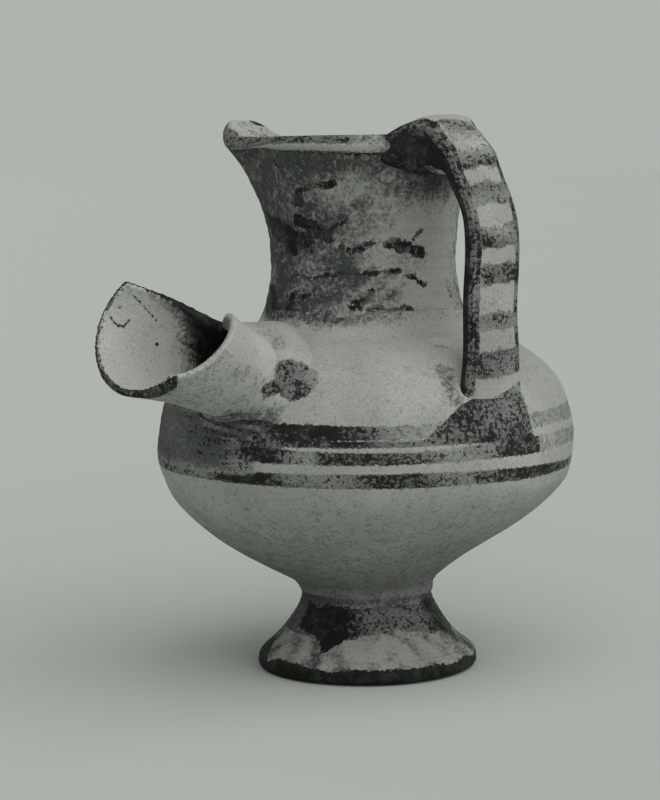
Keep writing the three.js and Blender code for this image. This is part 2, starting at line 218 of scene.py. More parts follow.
def turned(outline, azimuth):
    """Radius, height and azimuth of every point of an outline turned round the axis."""
    radius = np.repeat(outline[:, :1], len(azimuth), axis=1)
    height = np.repeat(outline[:, 1:], len(azimuth), axis=1)
    return radius, height, np.repeat(azimuth[None], len(outline), axis=0)


def rings_of(radius, height, azimuth):
    """Points in mm at the given radii, heights and azimuths."""
    a = np.radians(azimuth)
    return np.stack([radius * np.cos(a), radius * np.sin(a), height], -1)


def skin(name, rings, ends=(None, None), wrap=False, **fields):
    """An object over rings of points in mm round the vessel's axis, with closed poles or joined ends."""
    rows, cols = rings.shape[:2]
    points = rings.reshape(-1, 3)
    at = np.arange(rows * cols).reshape(rows, cols)
    if wrap:
        at = np.vstack([at, at[:1]])
    here, beside = at, np.roll(at, -1, axis=1)
    quads = np.stack([here[:-1], beside[:-1], beside[1:], here[1:]], -1).reshape(-1, 4)
    faces = quads.tolist()
    for pole, row, order in ((ends[0], 0, 1), (ends[1], -1, -1)):
        if pole is not None:
            hub = len(points)
            points = np.vstack([points, pole])
            faces += [(hub, b, a)[::order] for a, b in zip(here[row].tolist(), beside[row].tolist())]
    a, b, c, d = (points[quads[:, k]] for k in range(4))
    if (np.cross(c - a, d - b) * (a + c)).sum() < 0:
        faces = [f[::-1] for f in faces]
    mesh = bpy.data.meshes.new(name)
    mesh.from_pydata(points * 0.001 + np.array(axis), [], faces)
    for field, values in fields.items():
        values = np.broadcast_to(np.asarray(values, np.float32), (rows, cols)).ravel()
        values = np.concatenate([values, np.full(len(points) - len(values), values.mean(), np.float32)])
        mesh.attributes.new(field, "FLOAT", "POINT").data.foreach_set("value", values)
    mesh.shade_smooth()
    made = bpy.data.objects.new(name, mesh)
    bpy.context.scene.collection.objects.link(made)
    return made


def fired_clay(name, clay, pale, slip, thin, shift):
    """Fired clay in two tones, under slip that is dense or thin. The mesh brings the fields slip (mm inside
    the paint's edge), worn (how much of it has gone), wash (a thin film of slip, and in places painted shade)
    and soil (grime, and in places painted shade).
    The shift, in metres, keeps a piece's patterns apart from its neighbours'."""
    material = bpy.data.materials.new(name)
    material.use_nodes = True
    tree = material.node_tree
    tree.nodes.clear()
    where = add(tree, "ShaderNodeTexCoord").outputs["Object"]
    here = add(tree, "ShaderNodeMapping", {"Vector": where, "Location": (shift, shift, shift)})
    on_wheel = add(tree, "ShaderNodeMapping", {"Vector": here, "Scale": (1, 1, 6)})
    edge, worn, wash, soil = (
        add(tree, "ShaderNodeAttribute", attribute_name=field).outputs["Fac"]
        for field in ("slip", "worn", "wash", "soil")
    )
    noises = (
        (here, CLOUD, 3, 0.5, 0),
        (here, MOTTLE, 6, 0.7, 0.5),
        (here, FLECK, 4, 0.72, 0),
        (here, GRIT, 2, 0.6, 0),
        (on_wheel, TURNING, 4, 0.6, 0),
        (on_wheel, THREAD, 5, 0.6, 1.4),
    )
    clouds, mottle, flecks, grain, turning, threads = (
        add(
            tree,
            "ShaderNodeTexNoise",
            {"Vector": at, "Scale": 1000 / size, "Detail": detail, "Roughness": rough, "Distortion": twist},
        )
        for at, size, detail, rough, twist in noises
    )
    smooth = {"interpolation_type": "SMOOTHSTEP"}

    # Dense slip: a slightly frayed edge, worn through in fine flecks
    fray = add(tree, "ShaderNodeMath", {0: flecks, 1: 2.4, 2: -1.2}, operation="MULTIPLY_ADD")
    frayed = add(tree, "ShaderNodeMath", {0: edge, 1: fray}, operation="ADD")
    inside = add(tree, "ShaderNodeMapRange", {"Value": frayed, "From Min": -0.15, "From Max": 0.15}, **smooth)
    rub = add(tree, "ShaderNodeMath", {0: mottle, 1: 0.3}, operation="MULTIPLY")
    rub = add(tree, "ShaderNodeMath", {0: flecks, 1: 0.58, 2: rub}, operation="MULTIPLY_ADD")
    rub = add(tree, "ShaderNodeMath", {0: turning, 1: 0.12, 2: rub}, operation="MULTIPLY_ADD")
    limit = add(tree, "ShaderNodeMath", {0: worn, 1: -0.34, 2: 0.68}, operation="MULTIPLY_ADD")
    proud = add(tree, "ShaderNodeMath", {0: limit, 1: rub}, operation="SUBTRACT")
    held = add(tree, "ShaderNodeMapRange", {"Value": proud, "From Min": -0.05, "From Max": 0.05}, **smooth)
    kept = add(tree, "ShaderNodeMath", {0: inside, 1: held}, operation="MULTIPLY")

    # Thin wash: what worn slip leaves behind, the stains round it and, in places, painted shade, with fine
    # threads drawn by the wheel
    under = add(tree, "ShaderNodeMath", {0: inside, 1: 0.5}, operation="MULTIPLY")
    film = add(tree, "ShaderNodeMath", {0: wash, 1: under}, operation="MAXIMUM")
    film = add(tree, "ShaderNodeMath", {0: mottle, 1: 1.3, 2: film}, operation="MULTIPLY_ADD")
    film = add(tree, "ShaderNodeMath", {0: flecks, 1: 2.0, 2: film}, operation="MULTIPLY_ADD")
    film = add(tree, "ShaderNodeMapRange", {"Value": film, "From Min": 1.75, "From Max": 2.75}, **smooth)
    vein = add(tree, "ShaderNodeMath", {0: threads, 1: 0.5, 2: 0.006}, operation="COMPARE")
    vein = add(tree, "ShaderNodeMath", {0: vein, 1: wash}, operation="MULTIPLY")
    film = add(tree, "ShaderNodeMath", {0: vein, 1: 0.6, 2: film}, operation="MULTIPLY_ADD", use_clamp=True)

    # Clay: firing clouds, small dark grits, grime and painted shade, then the wash, with its painted shade,
    # and the slip over it
    cloud = add(tree, "ShaderNodeMapRange", {"Value": clouds, "From Min": 0.38, "From Max": 0.62}, **smooth)
    colour = add(tree, "ShaderNodeMix", {0: cloud, 6: srgb(clay), 7: srgb(pale)}, data_type="RGBA").outputs[2]
    grit = {"Value": grain, "From Min": 0.4, "From Max": 0.75, "To Max": 0.4}
    grit = add(tree, "ShaderNodeMapRange", grit, **smooth)
    for cover in (grit, soil, film):
        colour = add(tree, "ShaderNodeMix", {0: cover, 6: colour, 7: srgb(thin)}, data_type="RGBA").outputs[2]
    uneven = {"Value": mottle, "From Min": 0.45, "From Max": 0.65, "To Max": 0.4}
    uneven = add(tree, "ShaderNodeMapRange", uneven, **smooth)
    paint = add(tree, "ShaderNodeMix", {0: uneven, 6: srgb(slip), 7: srgb(thin)}, data_type="RGBA").outputs[2]
    colour = add(tree, "ShaderNodeMix", {0: kept, 6: colour, 7: paint}, data_type="RGBA").outputs[2]

    relief = add(tree, "ShaderNodeMath", {0: kept, 1: 0.15, 2: turning}, operation="MULTIPLY_ADD")
    relief = add(tree, "ShaderNodeMath", {0: flecks, 1: 0.8, 2: relief}, operation="MULTIPLY_ADD")
    bump = add(tree, "ShaderNodeBump", {"Height": relief, "Strength": 0.4, "Distance": 0.0003})
    gloss = add(tree, "ShaderNodeMath", {0: kept, 1: -0.15, 2: 0.88}, operation="MULTIPLY_ADD")
    shader = add(
        tree,
        "ShaderNodeBsdfPrincipled",
        {"Base Color": colour, "Roughness": gloss, "IOR": 1.45, "Specular IOR Level": 0.25, "Normal": bump},
    )
    add(tree, "ShaderNodeOutputMaterial", {"Surface": shader})
    return material


foot_line = through(
    [
        (0.4, FOOT_HOLLOW_H), (8, 12), (15, 8.6), (21.3, 4), (25.6, 0.6), (27.6, 0.05), (FOOT_R - 1.6, 0.05),
        (FOOT_R - 0.4, 0.9), (FOOT_R - 0.1, 2.4), (FOOT_R - 0.6, 4.3), (28.6, 6.7), (25.3, 10), (22.3, 14),
        (STEM_R + 1, 18), (STEM_R + 0.1, 21), (STEM_R, FOOT_H), (14, FOOT_H), (6, FOOT_H), (0.4, FOOT_H),
    ]
)
azimuth = np.linspace(0, 360, FOOT_STEPS, endpoint=False)
radius, height, turn = turned(spaced(foot_line, 190), azimuth)
outside = (height > 1.5) & (radius > STEM_R - 0.1)
uneven = 0.28 * (1 + waves(turn, height, 3, 40, 9, 6)) + 0.06 * throwing_rings(turn, height, 1.7)
radius = radius - np.where(outside, uneven, 0)
rocking = 0.18 * (1 + waves(turn, 0 * height, 4, 40, 20, 7))
height = np.maximum(height + np.where((radius > 24) & (height < 6), rocking, 0), 0.02)

fringe = 0.5 * waves(turn, 0 * turn, 5, 60, 20, 18)
ragged = 1.1 * waves(turn, height, 6, 9, 4, 26)
stem_band_low = at_turns(
    turn, (-180, 12), (-100, 13.2), (-84, 13.2), (-76, 11.2), (-68, 8.6), (-62, 10.8), (-56, 13), (-42, 13.8),
    (0, 13), (34, 10.2), (100, 12),
)
stem_band_high = 20.2 + 0.5 * fringe + 0.4 * ragged
stem_band = 0.5 * np.minimum(height - stem_band_low - fringe - ragged, stem_band_high - height)
# The base's edge: partly dark slip and partly painted shade on its vertical face, standing highest at the
# left
base_slip_and_shade_top = at_turns(
    turn, (-180, 4), (-126, 8.5), (-112, 6.5), (-104, 4.2), (-95, 5.6), (-86, 5.6), (-76, 4.6), (-22, 5),
    (6, 4.9), (30, 4.8), (90, 4),
)
base_slip_and_shade = np.where(radius > 26, base_slip_and_shade_top + fringe - height, -4)
stem_worn = at_turns(
    turn, (-180, 0.8), (-104, 0.8), (-97, 0.1), (-62, 0.15), (-50, 0.45), (-38, 0.55), (10, 0.55), (22, 0.4),
    (60, 0.7),
)
stem_wash = at_turns(turn, (-180, 0.7), (-120, 0.95), (-90, 0.8), (-60, 0.35), (10, 0.4), (30, 0.9))
stem_wash = stem_wash + at_places(height, (18, 0), (21, 0.45))
# The cone's wash, darkest at its left edge, where it is partly painted shade
cone_wash = at_turns(
    turn, (-180, 0.6), (-128, 0.95), (-116, 0.55), (-84, 0.35), (-72, 0.65), (-60, 0.25), (-40, 0.22),
    (10, 0.35), (32, 0.8),
)
cone_wash = cone_wash + 0.3 * waves(turn, height, 9, 16, 5, 24)
foot = skin(
    "foot_dressed",
    rings_of(radius, height, turn),
    ends=((0, 0, FOOT_HOLLOW_H), (0, 0, FOOT_H)),
    slip=np.where(radius > 18, np.maximum(stem_band, base_slip_and_shade), -6),
    worn=np.where(height > 8, stem_worn, 0.1),
    wash=np.where(height > 11.5, stem_wash, cone_wash),
    soil=0.06 + 0.06 * waves(turn, height, 8, 60, 20, 5),
)
# Pale, chalky trimmed clay under a dark slip that is rubbed off where the foot is handled
foot_clay = fired_clay("clay_foot_worn_slip", "#a0a39d", "#b1b4ae", "#151715", "#484c49", 0.1)
foot.data.materials.append(foot_clay)
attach(foot, "root")
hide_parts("foot")

# Foot coil: the roll of clay that lutes the foot to the bowl, smoothed with a finger into a soft waist.
# From here up to the belly, the bowl leans a little to the photograph's left.
LEAN = [(FOOT_H, 0), (26, 0.9), (30, 2.2), (34, 3.1), (38, 3), (42, 2.2), (46, 1.5), (50, 1), (56, 0)]
LEAN_TOWARDS = math.radians(CAMERA_AZIMUTH - 90)


def leaning(rings, height):
    """Rings of the low bowl, moved sideways by as much as it leans at their heights."""
    off = at_places(height, *LEAN)[..., None]
    return rings + off * [math.cos(LEAN_TOWARDS), math.sin(LEAN_TOWARDS), 0]


coil_line = through(
    [
        (15.6, FOOT_H - 0.2), (18.2, FOOT_H - 1.1), (STEM_R, FOOT_H - 0.1), (19.5, 24), (20.3, 25.3),
        (21, 25.9), (19.8, 25.7), (16.2, 23.6),
    ]
)
radius, height, turn = turned(spaced(coil_line, 44), azimuth)
radius = radius + 0.12 * waves(turn, height, 12, 20, 8, 11)
# Its wash and grime fields darken the whole coil: painted shade in the waist under the bowl.
foot_coil = skin(
    "foot_coil_dressed",
    leaning(rings_of(radius, height, turn), height),
    wrap=True,
    slip=-4,
    worn=0.5,
    wash=0.5,
    soil=0.5,
)
# The same clay, a little darker, with painted shade in the waist under the bowl
foot_coil_clay = fired_clay("clay_waist_soiled", "#a0a39d", "#b1b4ae", "#1c1e1c", "#525653", 0.2)
foot_coil.data.materials.append(foot_coil_clay)
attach(foot_coil, "root")
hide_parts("foot_coil")

# Body: the squat thrown bowl of buff clay with its shoulder, scraped below the belly. Seven round holes
# pierce it behind the spout. Its slip bands were painted on the wheel and have worn through in fine flecks.
body_lo, body_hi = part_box("body")
SEAT_Z = body_lo.z * 1000
SHOULDER_Z = body_hi.z * 1000
SEAT_R = 15.5
BOWL_RISE = math.radians(32.7)
BOWL_PULL = 33
BELLY_R = (body_hi.x - axis.x) * 1000 - 0.15
BELLY_Z = 64.5
BELLY_PULL = 16
BELLY_PULL_UP = 19.5
SHOULDER_SLOPE = math.radians(16.3)
SHOULDER_PULL = 20
SHOULDER_R = 30.7
MOUTH_IN_BODY_R = 25.6
BODY_WALL = 4.6
FLOOR_Z = SEAT_Z + 6
BODY_STEPS = 440
SPOUT_TURN = -78
SPOUT_RISE = math.radians(24.5)
SPOUT_ROOT_R = 50.3
SPOUT_ROOT_Z = 86
STRAINER_HOLE_R = 2
STRAINER_RING_R = 5.6
STRAINER_RING_COUNT = 6
STRAINER_ROD = 40
BLOB_R = 6.3
BLOB = rings_of(52.2, 88.2, -60.6)
BLOB_TAIL = rings_of(59.6, 85.6, -65.6)


def bezier(a, b, c, d, count=90):
    """A curve from a to d that sets out towards b and arrives from c."""
    a, b, c, d = (np.asarray(p, float) for p in (a, b, c, d))
    t = np.linspace(0, 1, count)[:, None]
    return (1 - t) ** 3 * a + 3 * (1 - t) ** 2 * t * b + 3 * (1 - t) * t**2 * c + t**3 * d


def inwards(outline):
    """The direction from each point of an upward outline into the wall."""
    along = np.gradient(outline, axis=0)
    along /= np.linalg.norm(along, axis=1)[:, None]
    return np.column_stack([-along[:, 1], along[:, 0]])


def around(azimuth, middle):
    """Signed degrees from a middle azimuth."""
    return (azimuth - middle + 180) % 360 - 180


def fades(distance, spread, power=2.0):
    """1 at no distance, fading smoothly to nothing past the spread."""
    return np.exp(-((np.abs(distance) / spread) ** power))


def off_line(u, v, line):
    """How far points lie from a bent line."""
    least = np.full(np.shape(u), 1e9)
    for (a, b), (c, d) in zip(line[:-1], line[1:]):
        t = np.clip(((u - a) * (c - a) + (v - b) * (d - b)) / ((c - a) ** 2 + (d - b) ** 2), 0, 1)
        least = np.minimum(least, np.hypot(u - a - t * (c - a), v - b - t * (d - b)))
    return least


bowl = bezier(
    (SEAT_R, SEAT_Z),
    (SEAT_R + BOWL_PULL * math.cos(BOWL_RISE), SEAT_Z + BOWL_PULL * math.sin(BOWL_RISE)),
    (BELLY_R, BELLY_Z - BELLY_PULL),
    (BELLY_R, BELLY_Z),
)
shoulder = bezier(
    (BELLY_R, BELLY_Z),
    (BELLY_R, BELLY_Z + BELLY_PULL_UP),
    (
        SHOULDER_R + SHOULDER_PULL * math.cos(SHOULDER_SLOPE),
        SHOULDER_Z - SHOULDER_PULL * math.sin(SHOULDER_SLOPE),
    ),
    (SHOULDER_R, SHOULDER_Z),
)
body_outer = spaced(np.vstack([bowl, shoulder[1:]]), 150)
lining = body_outer + BODY_WALL * inwards(body_outer)
lining_r, lining_z = lining.T
lining = lining[(lining_z > FLOOR_Z + 1) & (lining_z < SHOULDER_Z - BODY_WALL) & (lining_r > MOUTH_IN_BODY_R)]
seat = [(r, SEAT_Z) for r in (0.4, 5, 10)]
body_line = np.vstack(
    [
        seat,
        body_outer,
        [(29, SHOULDER_Z), (27.2, SHOULDER_Z)],
        [(MOUTH_IN_BODY_R, SHOULDER_Z - down) for down in (0, 2, BODY_WALL)],
        lining[::-1][::2],
        [(r, FLOOR_Z) for r in (9.3, 5, 0.4)],
    ]
)
body_run = run_of(body_outer)


def up_the_wall(z):
    """Millimetres along the body's outer face from its seat to a height."""
    return np.interp(z, body_outer[:, 1], body_run)


azimuth = np.linspace(0, 360, BODY_STEPS, endpoint=False)
radius, height, turn = turned(body_line, azimuth)
outer = np.zeros(len(body_line), bool)
outer[len(seat):len(seat) + len(body_outer)] = True
free = outer[:, None] & (height > SEAT_Z + 1)
swell = at_places(height, (SEAT_Z, 0), (26, 0.3), (34, 1), (60, 1), (90, 0.8), (SHOULDER_Z, 0))
ridges = 0.05 * throwing_rings(turn, height, 3.1) * at_places(height, (60, 0.4), (70, 1))
uneven = 0.32 * waves(turn, height, 21, 90, 26, 6) + 0.12 * waves(turn, height, 22, 26, 9, 18) + ridges
radius = np.where(free, np.minimum(radius + swell * (uneven - 0.35), BELLY_R + 0.1), radius)
rings = leaning(rings_of(radius, height, turn), height)
wall = up_the_wall(np.clip(height, SEAT_Z, SHOULDER_Z))


def band(top, bottom):
    """How far inside a painted band points lie, in mm. Each edge is given as heights at azimuths."""
    return np.minimum(up_the_wall(at_turns(turn, *top)) - wall, wall - up_the_wall(at_turns(turn, *bottom)))


def off_wall_line(mm_per_degree, *points):
    """How far points lie from a line on the body's outer face, given as azimuths and heights."""
    line = [(mm_per_degree * a, float(up_the_wall(z))) for a, z in points]
    return off_line(mm_per_degree * around(turn, 0), wall, line)


def blob_at(points):
    """How far inside the round blob of slip beside the spout, or its tail on the spout's root, points lie."""
    off = points - BLOB
    tail = BLOB_TAIL - BLOB
    t = np.clip((off @ tail) / (tail @ tail), 0, 1)
    beside_tail = np.linalg.norm(off - t[..., None] * tail, axis=-1)
    return 0.55 * np.maximum(BLOB_R - np.linalg.norm(off, axis=-1), 2.6 - 0.6 * t - beside_tail)


# Three bands round the belly, and the patch that runs down from the handle's foot
high_band = band(
    [(-60, 76.8), (-36, 76.2), (60, 77.5), (180, 77)],
    [(-60, 71.9), (-36, 72.9), (60, 73), (180, 72.4)],
)
middle_band = band(
    [(-67, 70.5), (-51, 69.5), (-27, 69.2), (-3, 70.8), (90, 70.2), (180, 70.4)],
    [(-75, 66.3), (-45, 66.0), (0, 66.2), (90, 66.4), (180, 66.0)],
)
low_band = band(
    [(-85, 63.0), (-64, 63.8), (-26, 63.8), (10, 62.9), (29, 62.1), (120, 63)],
    [(-76, 60.2), (-50, 59.8), (-15, 59.7), (10, 59.5), (120, 59.8)],
)
high_worn = at_turns(
    turn, (-120, 0.6), (-75, 0.55), (-60, 0.42), (-40, 0.4), (-34, 0.58), (-22, 0.85), (14, 0.85), (30, 0.8),
    (60, 0.55), (180, 0.6),
)
middle_worn = at_turns(
    turn, (-120, 0.6), (-75, 0.5), (-66, 0.25), (-54, 0.7), (-52, 0.42), (-24, 0.5), (-18, 0.76), (-4, 0.7),
    (1, 0.4), (11, 0.35), (15, 0.85), (30, 0.8), (60, 0.55), (180, 0.6),
)
low_worn = at_turns(
    turn, (-120, 0.6), (-86, 0.5), (-82, 0.25), (-68, 0.25), (-60, 0.5), (-34, 0.58), (-14, 0.72), (-8, 0.48),
    (20, 0.45), (40, 0.55), (180, 0.6),
)
from_handle = around(turn, 0)
patch_high = up_the_wall(at_places(from_handle, (-24.7, 72.5), (-12.9, 80.9), (7.9, 86.8), (12, 87)))
patch = np.minimum(np.minimum(patch_high - wall, wall - up_the_wall(70.6)), (10.5 - from_handle) * 0.95)
dash = 0.65 - off_wall_line(0.65, (-10.5, 95.2), (-4, 94.8))
painted = np.maximum.reduce([high_band, middle_band, low_band, patch, dash, blob_at(rings)])

# A stain of smeared slip on the far side of the spout, partly painted shadow of the spout; a painted shadow
# of the handle's foot on the shoulder; and a drip under the spout
spout_smear_and_shade = np.minimum(up_the_wall(81.5) - wall, wall - up_the_wall(60.0))
spout_smear_and_shade = np.minimum(spout_smear_and_shade, (66 - np.abs(around(turn, -132))) * 0.3)
smeared = 0.8 * spout_smear_and_shade - 1.5 + 0.8 * waves(turn, height, 25, 20, 7, 16)
handle_foot_shadow = fades(off_wall_line(0.9, (-14.2, 89.5), (-14.7, 82)), 3.2)
drip = np.clip(1 - np.hypot(0.95 * around(turn, -66), wall - up_the_wall(78.5)) / 7, 0, 1)
# A thin wash all over, heavier towards the seat, where it is partly painted shade on the downward-facing bowl
thin_wash_and_low_shade = at_places(height, (26, 0.45), (44, 0.3), (58, 0.16), (66, 0.1), (80, 0.13))
body_wash = np.maximum.reduce([0.85 * np.clip(spout_smear_and_shade / 5, 0, 1), 0.7 * handle_foot_shadow, 0.8 * drip, thin_wash_and_low_shade])
body_worn = np.select([wall > up_the_wall(71.4), wall > up_the_wall(65)], [high_worn, middle_worn], low_worn)
body_worn = np.where(patch > 0, 0.47, body_worn)
blob_worn = 0.45 + 0.3 * np.clip(around(turn, -61) / 7 + (height - 88) / 9, -1, 0.8)
body_worn = np.where(blob_at(rings) > -1, blob_worn, body_worn)
body_worn = np.where(smeared > painted, 0.62, body_worn) + 0.1 * waves(turn, height, 24, 60, 14, 12)
body = skin(
    "body_dressed",
    rings,
    ends=((0, 0, SEAT_Z), (0, 0, FLOOR_Z)),
    slip=np.where(free, np.maximum(painted, smeared), -6),
    worn=body_worn,
    wash=np.where(free, body_wash, 0),
    # Darker towards the seat: grime and painted shade on the downward-facing lower bowl
    soil=at_places(height, (28, 0.5), (36, 0.32), (46, 0.06), (56, 0)),
)

# The strainer: a ring of straight rods round a middle one, along the spout's axis, is cut out of the wall
spout_way = rings_of(math.cos(SPOUT_RISE), math.sin(SPOUT_RISE), SPOUT_TURN)
spout_root = rings_of(SPOUT_ROOT_R, SPOUT_ROOT_Z, SPOUT_TURN)
spout_top = np.array([0, 0, 1]) - spout_way[2] * spout_way
spout_top /= np.linalg.norm(spout_top)
spout_side = np.cross(spout_way, spout_top)
pierce = bpy.data.node_groups.new("strainer_holes", "GeometryNodeTree")
pierce.interface.new_socket("Pot", in_out="INPUT", socket_type="NodeSocketGeometry")
strainer_inputs = {"Hole radius": STRAINER_HOLE_R, "Ring radius": STRAINER_RING_R, "Rod length": STRAINER_ROD}
strainer_sizes = {}
for name, size in strainer_inputs.items():
    socket = pierce.interface.new_socket(name, in_out="INPUT", socket_type="NodeSocketFloat")
    strainer_sizes[socket.identifier] = size / 1000
pierce.interface.new_socket("Pierced", in_out="OUTPUT", socket_type="NodeSocketGeometry")
given = add(pierce, "NodeGroupInput").outputs
places = add(
    pierce,
    "GeometryNodeMeshCircle",
    {"Vertices": STRAINER_RING_COUNT, "Radius": given["Ring radius"]},
    fill_type="TRIANGLE_FAN",
)
rod = add(
    pierce,
    "GeometryNodeMeshCylinder",
    {"Vertices": 20, "Radius": given["Hole radius"], "Depth": given["Rod length"]},
)
rods = add(pierce, "GeometryNodeInstanceOnPoints", {"Points": places, "Instance": rod})
rods = add(
    pierce,
    "GeometryNodeTransform",
    {
        "Geometry": rods,
        "Translation": Vector(spout_root) / 1000 + axis,
        "Rotation": Matrix((spout_top, spout_side, spout_way)).transposed().to_euler(),
    },
)
holed = add(
    pierce,
    "GeometryNodeMeshBoolean",
    {"Mesh 1": given["Pot"], "Mesh 2": rods},
    operation="DIFFERENCE",
    solver="MANIFOLD",
)
holed = add(pierce, "GeometryNodeRealizeInstances", {"Geometry": holed})
# Buff clay, pale and clean on the shoulder, greyer and speckled below, where grime and painted shade darken
# it, with bands of worn slip
body_clay = fired_clay("clay_body_banded_slip", "#aeb1ab", "#bec1bb", "#1f211f", "#555956", 0)
holed = add(pierce, "GeometryNodeSetMaterial", {"Geometry": holed, "Material": body_clay})
add(pierce, "NodeGroupOutput", {"Pierced": holed})
strainer = body.modifiers.new("strainer_holes", "NODES")
strainer.node_group = pierce
for identifier, size in strainer_sizes.items():
    strainer[identifier] = size
pierced = bpy.data.meshes.new_from_object(body.evaluated_get(bpy.context.evaluated_depsgraph_get()))
body.modifiers.clear()
body.data = pierced
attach(body, "root")
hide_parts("body")

# Neck coil: the roll of clay pressed round the foot of the neck and smoothed to a hollow curve.
# The neck's wash runs down over its upper half.
coil_line = np.vstack(
    [
        bezier((35.8, 96.1), (32.6, 97.4), (30.2, 98.8), (28.2, 104.2), 34),
        through([(28.2, 104.2), (28.0, 101), (29, 98.2), (32, 96.4), (35.8, 96.1)], 8)[1:-1],
    ]
)
radius, height, turn = turned(coil_line, azimuth)
smoothed = np.sin(np.linspace(0, np.pi, len(coil_line)))[:, None]
radius = radius + 0.1 * waves(turn, height, 32, 20, 8, 14) * smoothed
coil_wash = at_turns(turn, (-180, 0.9), (-110, 1), (-60, 0.75), (-22, 0.45), (-8, 0.2), (12, 0.2), (60, 0.6))
coil_wash_low = 99.4 + 0.8 * waves(turn, 0 * height, 33, 20, 8, 12)
neck_coil = skin(
    "neck_coil_dressed",
    rings_of(radius, height, turn),
    wrap=True,
    slip=-4,
    worn=0.5,
    wash=coil_wash * np.clip((height - coil_wash_low) / 3.2, 0, 1),
    soil=0.04,
)
# Clay of the shoulder below, running into the neck's thin wash above
neck_coil_clay = fired_clay("clay_neck_join_wash", "#aeb1ab", "#bec1bb", "#1f211f", "#3e423f", 0.3)
neck_coil.data.materials.append(neck_coil_clay)
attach(neck_coil, "root")
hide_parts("neck_coil")

# Neck: the wide concave collar, thrown and then pinched while soft into a trefoil lip with a raised lobe for
# pouring. Its rim is rolled outwards over a fine groove. A dark slip covers its outside and has worn to a
# mottled wash.
MOUTH_R = (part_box("neck")[1].x - axis.x) * 1000
NECK_WALL = 4.8
NECK_BASE_R = 30.4
NECK_WAIST_R = 26.9
NECK_PULL_UP = 10.12
RIM_Z = 152.5
LOBE_TURN = 186
LOBE_REACH = 17
LOBE_SPREAD = 31
LOBE_LIFT = 5
LIFT_TURN = 190
PINCH_TURNS = (124, 248)
PINCH_DEPTH = 3.6
PINCH_SPREAD = 24
LIP_LEAN_H = 18
LIP_BEAD = 2.3
LIP_ROLL = 1
LIP_ROLL_H = 1.8
NECK_STEPS = 480
OUTER_ROWS = 84
LIP_ROWS = 32


def hump(turn, middle, spread, power=2.0):
    """1 at a middle azimuth, fading smoothly to nothing past the spread."""
    return fades(around(turn, middle), spread, power)


azimuth = np.linspace(0, 360, NECK_STEPS, endpoint=False)
lip_r = MOUTH_R + LOBE_REACH * hump(azimuth, LOBE_TURN, LOBE_SPREAD)
lip_r = lip_r - PINCH_DEPTH * sum(hump(azimuth, pinch, PINCH_SPREAD) for pinch in PINCH_TURNS)
lift = np.where(azimuth > LIFT_TURN, hump(azimuth, LIFT_TURN, 15, 2.5), hump(azimuth, LIFT_TURN, 14, 4))
lip_z = RIM_Z + LOBE_LIFT * lift
groove_raise = at_turns(azimuth, (0, 0.2), (120, 0.8), (186, 1.9), (235, 1.7), (285, 0.9), (315, 0.1))
waist_pull = (4 * NECK_WAIST_R - (NECK_BASE_R + MOUTH_R) / 2) / 3
sections = []
for r, z, raised, pinched in zip(lip_r, lip_z, groove_raise, hump(azimuth, 192, 30, 4)):
    tipped = (r - waist_pull) / math.hypot(r - waist_pull, LIP_LEAN_H)
    rim = np.array([r, z - LIP_BEAD - NECK_WALL / 2 * tipped])
    groove = rim - (LIP_ROLL, LIP_ROLL_H - raised)
    outer = bezier(
        (NECK_BASE_R, SHOULDER_Z),
        (waist_pull, SHOULDER_Z + NECK_PULL_UP),
        (waist_pull, rim[1] - LIP_LEAN_H),
        groove,
    )
    outer = spaced(outer, OUTER_ROWS)
    into_wall = inwards(outer)
    inner = outer + NECK_WALL * into_wall
    inner[0] = (MOUTH_IN_BODY_R, SHOULDER_Z)
    roll_in = inner[-1] + (LIP_ROLL, LIP_ROLL_H - raised)
    t = np.linspace(0, 1, 18)[1:-1, None]
    crown = rim * (1 - t) + roll_in * t
    crown[:, 1] += LIP_BEAD * np.sin(np.pi * t[:, 0]) ** 0.8
    rolled_over = [groove, (groove + rim) / 2 + (0.1, 0.1), rim + (-0.15, 0.1), rim + (-0.2, 0.9), crown[3]]
    rolled_over = through(rolled_over, 5)[1:-1]
    rolled = spaced(np.vstack([outer[-1:], rolled_over, crown[3:], inner[-1:]]), LIP_ROWS + 2)
    hub, side = (outer[-1] + inner[-1]) / 2, (outer[-1] - inner[-1]) / 2
    half_turn = np.linspace(0, np.pi, LIP_ROWS + 2)[:, None]
    upwards = np.array([into_wall[-1][1], -into_wall[-1][0]])
    rounded = hub + side * np.cos(half_turn) + NECK_WALL / 2 * upwards * np.sin(half_turn)
    lip = (1 - pinched) * rolled + pinched * rounded
    sections.append(np.vstack([outer, lip[1:-1], inner[::-2]]))
sections = np.array(sections).transpose(1, 0, 2)
radius, height = sections[..., 0], sections[..., 1]
turn = np.repeat(azimuth[None], len(sections), axis=0)
row = np.arange(len(sections))[:, None]
outside = (row < OUTER_ROWS) & (height > SHOULDER_Z + 1)
lip_face = (row >= OUTER_ROWS) & (row < OUTER_ROWS + LIP_ROWS)
uneven = 0.28 * waves(turn, height, 41, 70, 22, 7) + 0.1 * waves(turn, height, 42, 20, 8, 16)
uneven = uneven + 0.06 * throwing_rings(turn, height, 3.6)
uneven = (uneven - 0.15) * at_places(height, (99, 0), (104, 1), (140, 1), (146, 0.2))
rings = rings_of(np.where(outside, radius + uneven, radius), height, turn)


def streak(line, half):
    """How far inside a brushed or rubbed streak on the neck points lie. Its line is azimuths and heights."""
    return half - off_line(0.48 * around(turn, 0), height, [(0.48 * a, z) for a, z in line])


